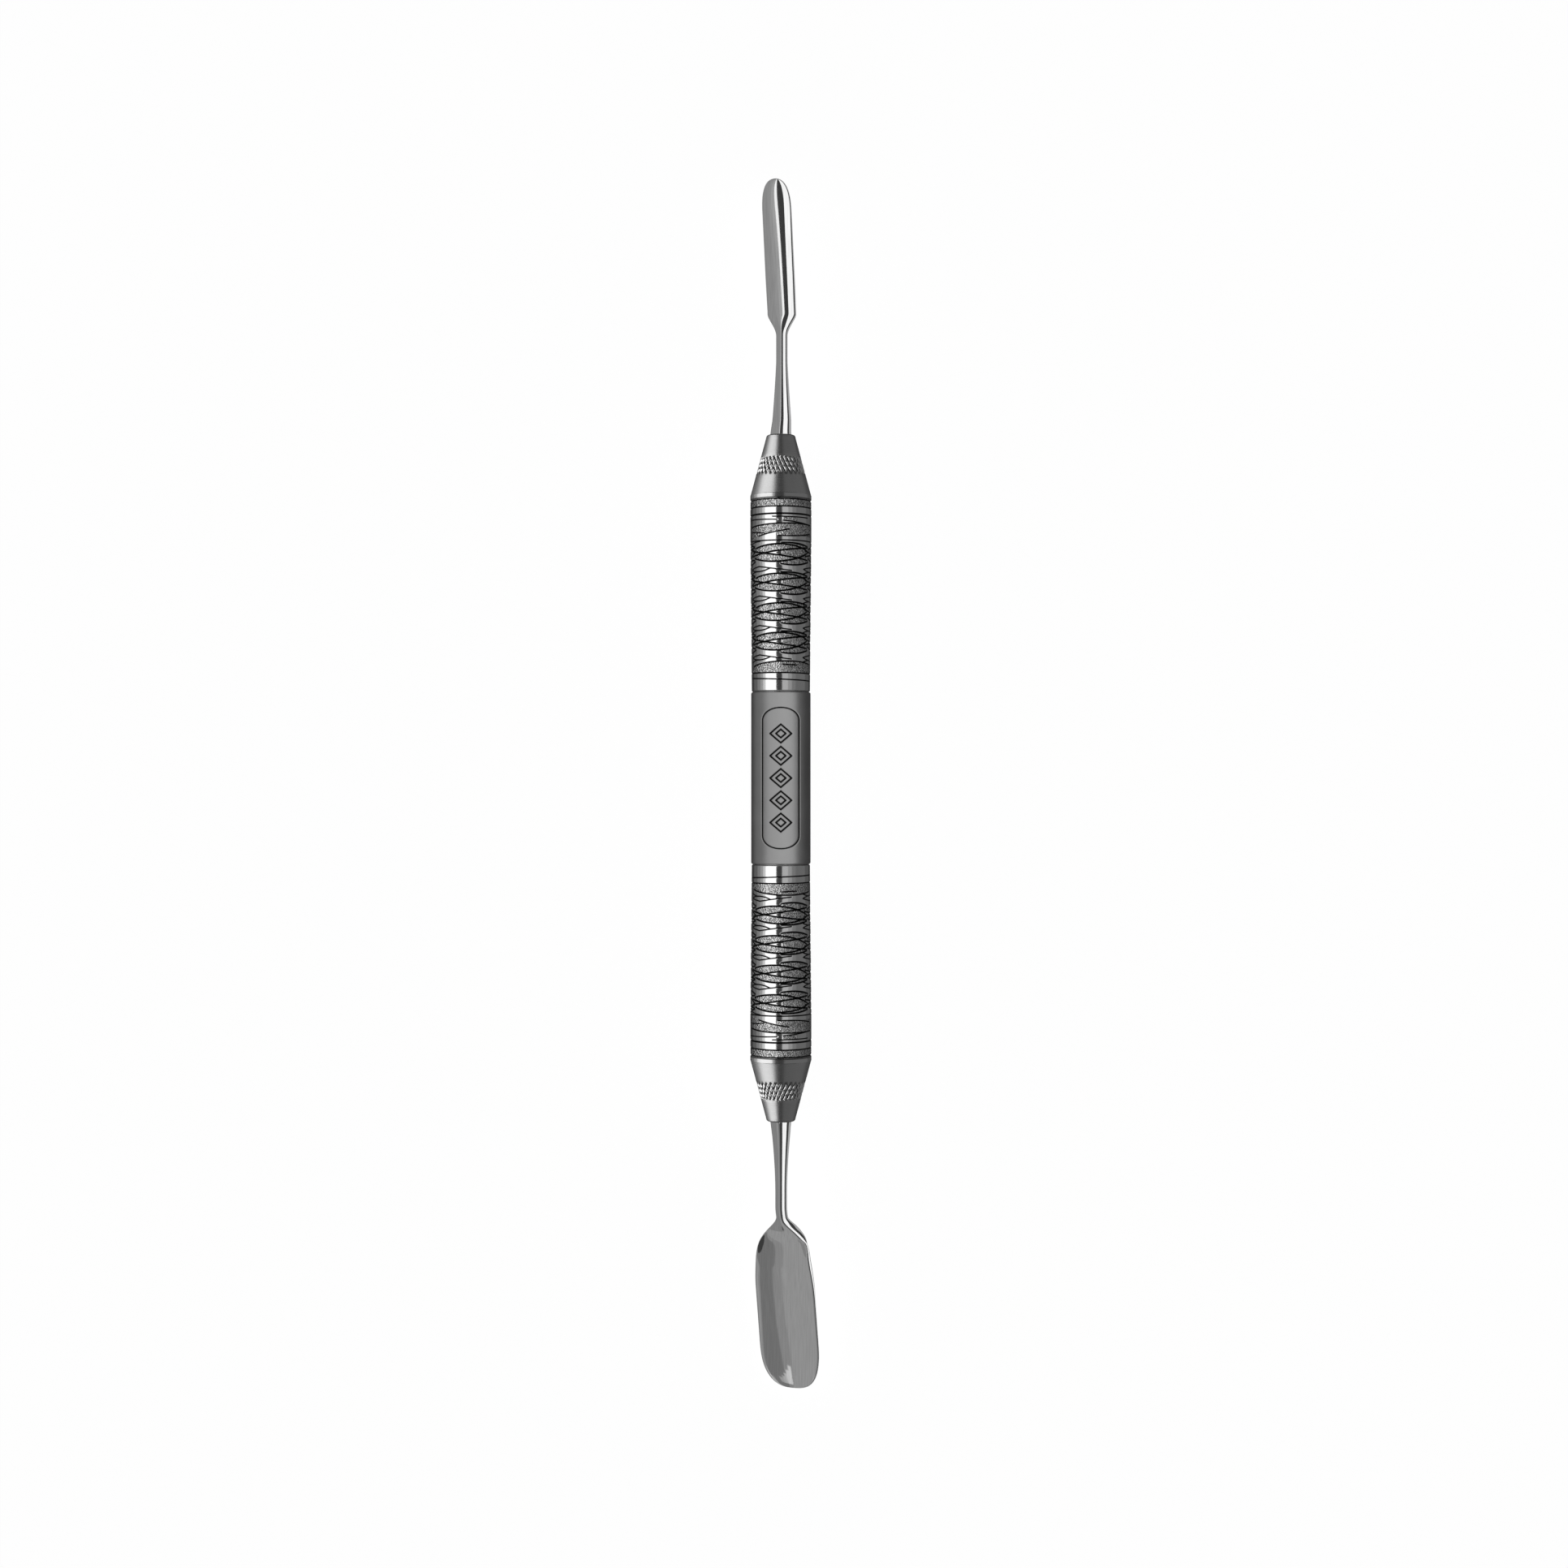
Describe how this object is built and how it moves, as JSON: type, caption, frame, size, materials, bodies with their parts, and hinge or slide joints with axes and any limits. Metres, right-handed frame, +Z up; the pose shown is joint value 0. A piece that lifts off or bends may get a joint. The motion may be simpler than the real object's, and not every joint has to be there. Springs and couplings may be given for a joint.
{
  "type": "cuticle pusher",
  "caption": "Double-ended steel cuticle pusher: waisted hollow grip, knurled conical nuts, a narrow half-round blade and a wide spoon blade.",
  "frame": {"origin": "centre of the bounding box, on the grip's axis halfway between the two blade tips", "axes": "+Y along the grip's axis towards the narrow blade, +X to the right, +Z up from the surface that the tool lies on, with both blade faces upwards"},
  "size_m": [0.011, 0.1922, 0.0098],
  "materials": {
    "polished_steel": "polished stainless steel with engraved and peened grip pattern",
    "satin_steel": "bead-blasted satin stainless steel",
    "blade_steel": "mirror-polished stainless steel with fine lengthwise marks",
    "turned_steel": "bright turned stainless steel",
    "seal_rubber": "smooth black silicone rubber"
  },
  "bodies": {
    "handle": {"label_band": "satin_steel", "grip_tube_narrow": "polished_steel", "grip_tube_wide": "polished_steel", "thread_plug_narrow": "turned_steel", "thread_plug_wide": "turned_steel"},
    "narrow_tip": {"narrow_blade": "blade_steel", "tang_collar_narrow": "turned_steel"},
    "narrow_nut": {"cone_nut_narrow": "satin_steel", "nut_seal_narrow": "seal_rubber"},
    "wide_tip": {"wide_blade": "blade_steel", "tang_collar_wide": "turned_steel"},
    "wide_nut": {"cone_nut_wide": "satin_steel", "nut_seal_wide": "seal_rubber"}
  },
  "joints": [
    {"name": "narrow_tip_slide", "type": "slide", "parent": "handle", "child": "narrow_tip", "axis": [0, 1, 0], "range_m": [0, 0.003]},
    {"name": "narrow_nut_turn", "type": "hinge", "parent": "narrow_tip", "child": "narrow_nut", "pos_m": [0, 0.0512, 0], "axis": [0, 1, 0], "range_deg": [0, 1080]},
    {"name": "wide_tip_slide", "type": "slide", "parent": "handle", "child": "wide_tip", "axis": [0, -1, 0], "range_m": [0, 0.003]},
    {"name": "wide_nut_turn", "type": "hinge", "parent": "wide_tip", "child": "wide_nut", "pos_m": [0, -0.0483, 0], "axis": [0, -1, 0], "range_deg": [0, 1080]}
  ],
  "couplings": [
    {"joint": "narrow_nut_turn", "follows": "narrow_tip_slide", "rad_per_m": 6283.2},
    {"joint": "wide_nut_turn", "follows": "wide_tip_slide", "rad_per_m": 6283.2}
  ]
}
